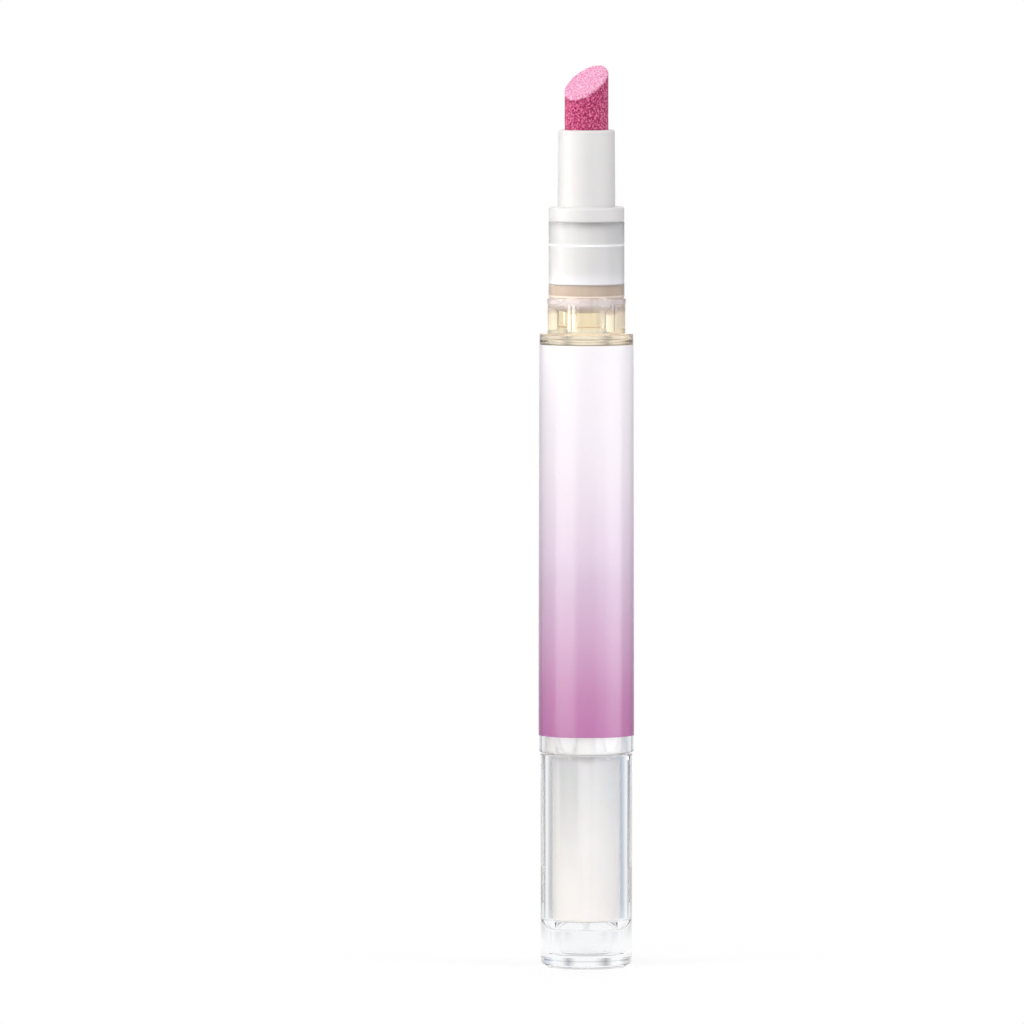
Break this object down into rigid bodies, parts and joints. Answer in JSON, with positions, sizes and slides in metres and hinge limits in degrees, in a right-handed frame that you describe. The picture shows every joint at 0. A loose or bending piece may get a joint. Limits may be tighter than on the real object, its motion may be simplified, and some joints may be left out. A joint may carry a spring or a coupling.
{
  "type": "nail oil pen",
  "caption": "Slim twist-feed oil pen with a slanted sponge tip on a stepped neck, a clear barrel under a film label, and a clear ratchet knob that screws a piston up the bore.",
  "frame": {"origin": "middle of the knob's flat base, which the pen stands on", "axes": "+Z along the pen's axis from the knob to the sponge tip, front at -Y, label seam at +Y"},
  "size_m": [0.012, 0.012, 0.1128],
  "materials": {
    "clear_plastic": "clear polished moulding",
    "natural_plastic": "natural translucent polypropylene",
    "acetal": "natural acetal",
    "soft_plastic": "natural polyethylene",
    "white_plastic": "white moulded polypropylene",
    "label_film": "white film printed with a fade to mauve",
    "oil": "clear golden oil",
    "foam": "dyed fine foam"
  },
  "bodies": {
    "barrel": {"barrel": "clear_plastic", "label": "label_film", "tip_holder": "white_plastic", "sponge_tip": "foam", "ratchet_sleeve": "natural_plastic", "thread_nut": "natural_plastic", "oil_fill": "oil"},
    "knob": {"knob_shell": "clear_plastic", "drive_core": "natural_plastic", "click_spring": "acetal"},
    "screw": {"screw_rod": "acetal"},
    "piston": {"piston": "soft_plastic"}
  },
  "joints": [
    {"name": "knob_twist", "type": "hinge", "parent": "barrel", "child": "knob", "pos_m": [0, 0, 0.027], "axis": [0, 0, 1], "range_deg": [0, 3600], "deforming": ["click_spring"]},
    {"name": "screw_feed", "type": "slide", "parent": "knob", "child": "screw", "axis": [0, 0, 1], "range_m": [0, 0.026]},
    {"name": "piston_push", "type": "slide", "parent": "barrel", "child": "piston", "axis": [0, 0, 1], "range_m": [0, 0.026], "deforming": ["oil_fill"]}
  ],
  "couplings": [
    {"joint": "knob_twist", "follows": "screw_feed", "rad_per_m": 2416.6},
    {"joint": "piston_push", "follows": "screw_feed", "ratio": 1}
  ]
}
